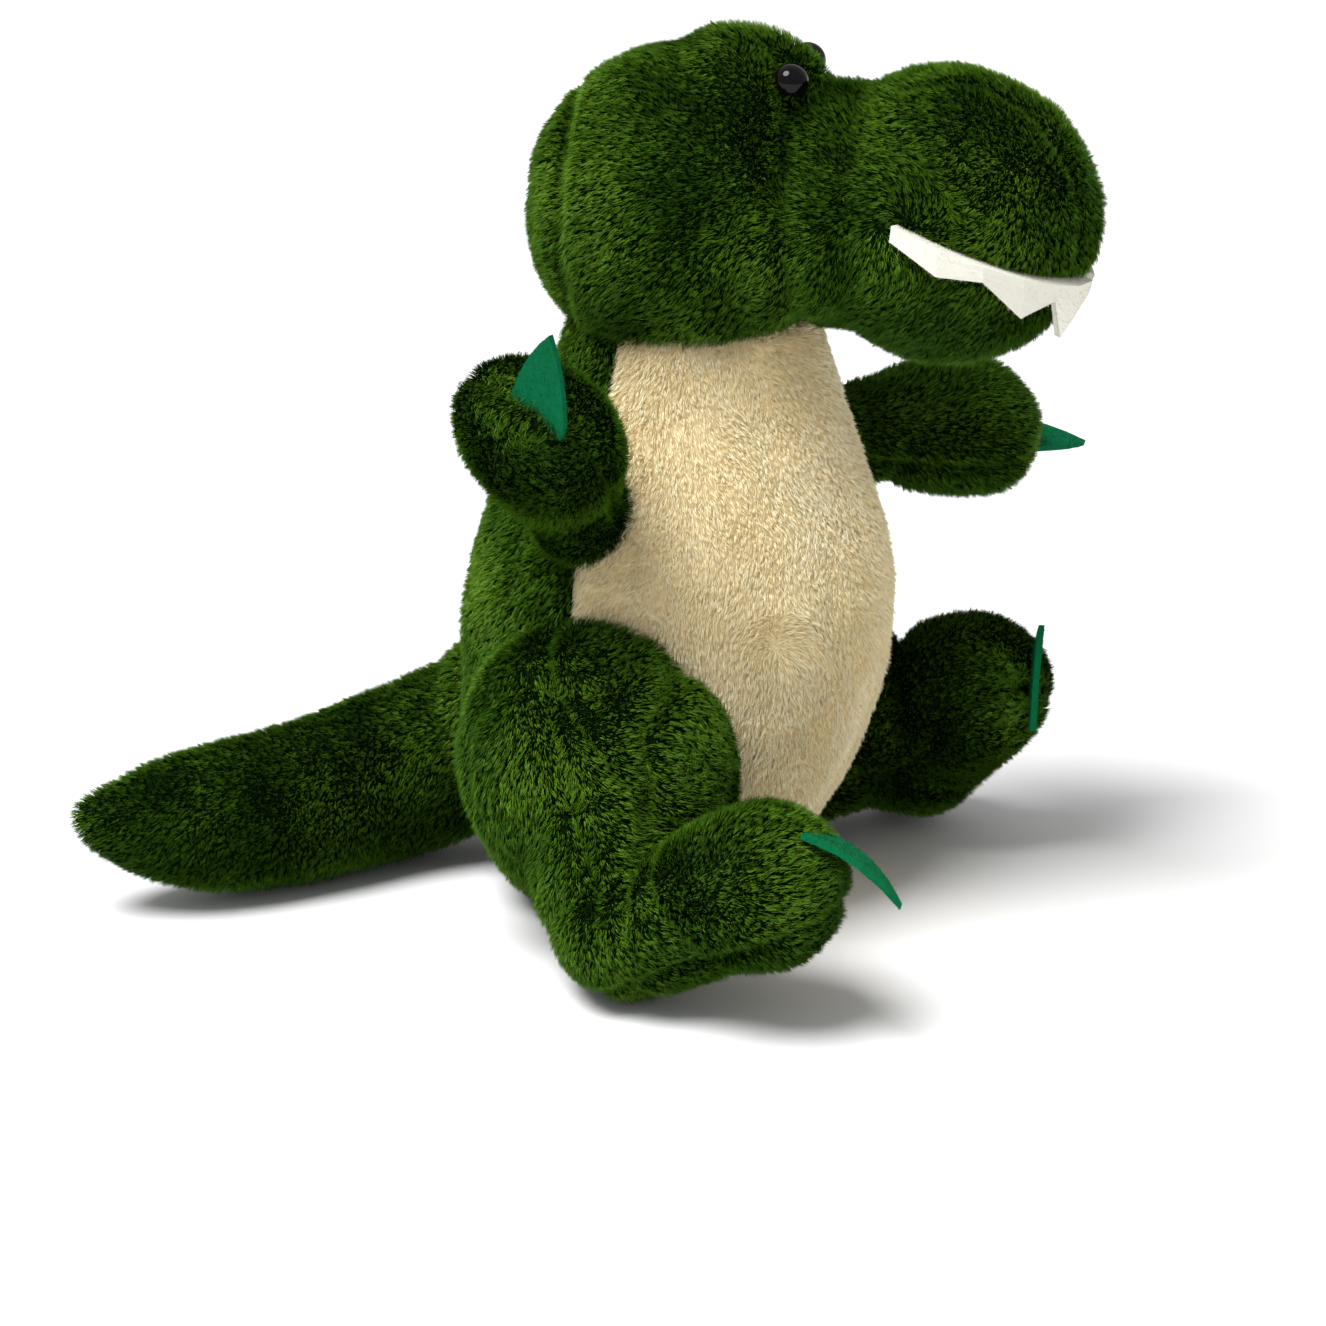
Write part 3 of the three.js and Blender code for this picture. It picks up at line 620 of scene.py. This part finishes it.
# ---- Arms, legs and tail ----
in_torso = [((0, 2, 52), (37, 37.5, 60))]
for side in ("right", "left"):
    arm = arm_skin(side)
    shape_skin(arm, carve_arm(side))
    along = np.array(ARM_DIRECTION[side], float)
    toward = lambda points, along=along: np.tile(along + np.array([0, 0, -0.5]), (len(points), 1))
    free = lambda points: ~inside_of(points, in_torso)
    grow(f"arm_{side}", f"arm_{side}", arm, toward, free, GREEN_PILE)
    dress(arm, f"arm_{side}", [f"arm_{side}_upper", f"arm_{side}_lower", f"arm_{side}_filling"],
          [GREEN_BACKING_PAINTED_SHADE])

    leg = leg_skin(side)
    shape_skin(leg, carve_leg(side))
    foot = frame_at(HEEL[side], FOOT_DIRECTION[side])

    def leg_flow(points, foot=foot):
        p = local(points, foot)
        in_foot = 1 / (1 + np.exp(-(p[:, :1] - 6) / 4))
        down = np.array([0, -0.35, -1.0])
        return down * (1 - in_foot) + (foot[:3, 0] - 0.35 * foot[:3, 2]) * in_foot

    def leg_free(points):
        return ~inside_of(points, in_torso) & (points[:, 2] > BARE_BELOW)

    grow(f"leg_{side}", f"leg_{side}", leg, leg_flow, leg_free, GREEN_PILE)
    dress(leg, f"leg_{side}",
          [f"leg_{side}_{piece}" for piece in ("outer", "inner", "sole", "filling")],
          [GREEN_BACKING_PAINTED_SHADE])

tail = tail_skin()
shape_skin(tail, carve_tail)
tail_line = np.array([s[:3] for s in TAIL_STATIONS], float) + TAIL_AT


def tail_flow(points):
    gaps = np.linalg.norm(points[:, None] - tail_line[None], axis=2)
    nearest = np.clip(gaps.argmin(1), 0, len(tail_line) - 2)
    return normalized(tail_line[nearest + 1] - tail_line[nearest]) + np.array([0, 0, -0.35])


def tail_free(points):
    return ~inside_of(points, in_torso) & (points[:, 2] > BARE_BELOW)


grow("tail", "tail", tail, tail_flow, tail_free, GREEN_PILE)
dress(tail, "tail", ["tail_panel_left", "tail_panel_right", "tail_filling"], [GREEN_BACKING_PAINTED_SHADE])


# ---- Eyes, teeth, claws and stitches: the CAD solids, finished ----
def eye(name, side):
    """A glossy domed bead on the brow, with its stem in the head."""
    out = normalized(np.array([side * 0.55, -0.54, 0.64]))
    brow = np.array([20, 20, 21.5])
    at = out / np.linalg.norm(out / brow) + np.array([0, -9, 13.5])
    across = normalized(np.cross(UP, out))
    over = np.cross(out, across)
    angles = np.linspace(0, np.pi / 2, 14)
    profile = [(0.01, -6.5), (1.2, -6.5), (1.2, -0.6), (2.8, -0.7)]
    profile += [(3.3 * math.cos(a), 0.2 + 3.0 * math.sin(a)) for a in angles[:-1]] + [(0.01, 3.2)]
    turn = np.linspace(0, 2 * np.pi, 40, endpoint=False)
    points = [
        at + out * h + (across * math.cos(t) + over * math.sin(t)) * radius
        for radius, h in profile for t in turn
    ]
    faces = [
        (i * 40 + k, i * 40 + (k + 1) % 40, (i + 1) * 40 + (k + 1) % 40, (i + 1) * 40 + k)
        for i in range(len(profile) - 1) for k in range(40)
    ]
    faces += [tuple(reversed(range(40))), tuple((len(profile) - 1) * 40 + k for k in range(40))]
    points = np.array(points) @ HEAD_FRAME[:3, :3].T + HEAD_FRAME[:3, 3]
    obj = new_mesh(f"{name}_bead", points * MM, faces)
    obj.data.polygons.foreach_set("use_smooth", np.ones(len(faces), bool))
    obj.data.materials.append(BEAD)
    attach(obj, "head")
    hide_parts(name)
    return HEAD_FRAME[:3, :3] @ at + HEAD_FRAME[:3, 3]


def felt(node, faces_color, edge_color):
    """Felt with rounded edges; the bevelled edges, seen edge-on round the outline, take the second colour.
    """
    data = node.data
    data.materials.clear()
    data.materials.append(faces_color)
    data.materials.append(edge_color)
    bevel = node.modifiers.new("soft edge", "BEVEL")
    bevel.width, bevel.segments, bevel.limit_method, bevel.material = 0.28 * MM, 2, "ANGLE", 1


def fuzz(name, body, shade, count, tallness=(0.25, 0.7), width=0.07):
    """Short loose fibres over a CAD piece."""
    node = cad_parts[name]
    at, normal = roots(node, count)
    n = len(at)
    low = normalized(normal + 0.9 * rng.normal(0, 1, (n, 3)))
    low = low * np.sign((low * normal).sum(1, keepdims=True) + 1e-6)
    tall = rng.uniform(*tallness, (n, 1))
    mid = at + low * tall * 0.5
    tip = mid + normalized(low + 0.6 * rng.normal(0, 1, (n, 3))) * tall * 0.5
    made = blades(f"{name}_fuzz", at, low, mid, tip, np.full(n, width), [shade, shade])
    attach(made, body)


eye("eye_left", 1)
eye("eye_right", -1)

for name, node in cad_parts.items():
    if name.startswith("teeth"):
        felt(node, WHITE_FELT, WHITE_EDGE)
        fuzz(name, "head", WHITE_FELT, 5)
    if name.endswith("claw"):
        felt(node, GREEN_FELT, GREEN_FELT)
        fuzz(name, name[:name.rindex("_claw")], GREEN_FELT, 7)
    # The hip stitches are hidden, so the torso skin stands in for them.
    if name.endswith("_seam") or "shoulder_seam" in name:
        node.data.materials.clear()
        node.data.materials.append(THREAD)
        ring = {"neck_seam": "neck_ring", "tail_seam": "tail_ring"}.get(name, name.replace("seam", "ring"))
        fuzz(name, ring, GREEN_TIPS_TONE_AND_PAINTED_LIGHT[1], 8, (0.6, 1.2), 0.15)

# ---- Floor, light and camera ----
floor = new_mesh("floor", [(-6, -6, 0), (6, -6, 0), (6, 6, 0), (-6, 6, 0)], [(0, 1, 2, 3)])
floor.data.materials.append(material("pale_floor", (0.88, 0.88, 0.88), 0.9, specular=0.1))

world = bpy.data.worlds.new("studio")
bpy.context.scene.world = world
world.use_nodes = True
world.node_tree.nodes["Background"].inputs["Color"].default_value = (1.0, 1.0, 1.0, 1)
world.node_tree.nodes["Background"].inputs["Strength"].default_value = 0.46
bpy.context.scene.view_settings.view_transform = "Standard"

key_data = bpy.data.lights.new("key", "SUN")
key_data.energy, key_data.angle = 4.2, math.radians(34)
key = bpy.data.objects.new("key", key_data)
bpy.context.scene.collection.objects.link(key)
key.rotation_euler = Vector((0.66, -0.30, -1.40)).to_track_quat("-Z", "Y").to_euler()

azimuth, elevation, distance = math.radians(-60), math.radians(18), 0.9
level = math.cos(elevation)
toward_camera = Vector((math.sin(azimuth) * level, -math.cos(azimuth) * level, math.sin(elevation)))
camera_data = bpy.data.cameras.new("camera")
camera_data.lens, camera_data.sensor_width = 124.6, 36
camera = bpy.data.objects.new("camera", camera_data)
bpy.context.scene.collection.objects.link(camera)
camera.location = Vector((0.010, 0.011, 0.0415)) + toward_camera * distance
camera.rotation_euler = (-toward_camera).to_track_quat("-Z", "Y").to_euler()
bpy.context.scene.camera = camera
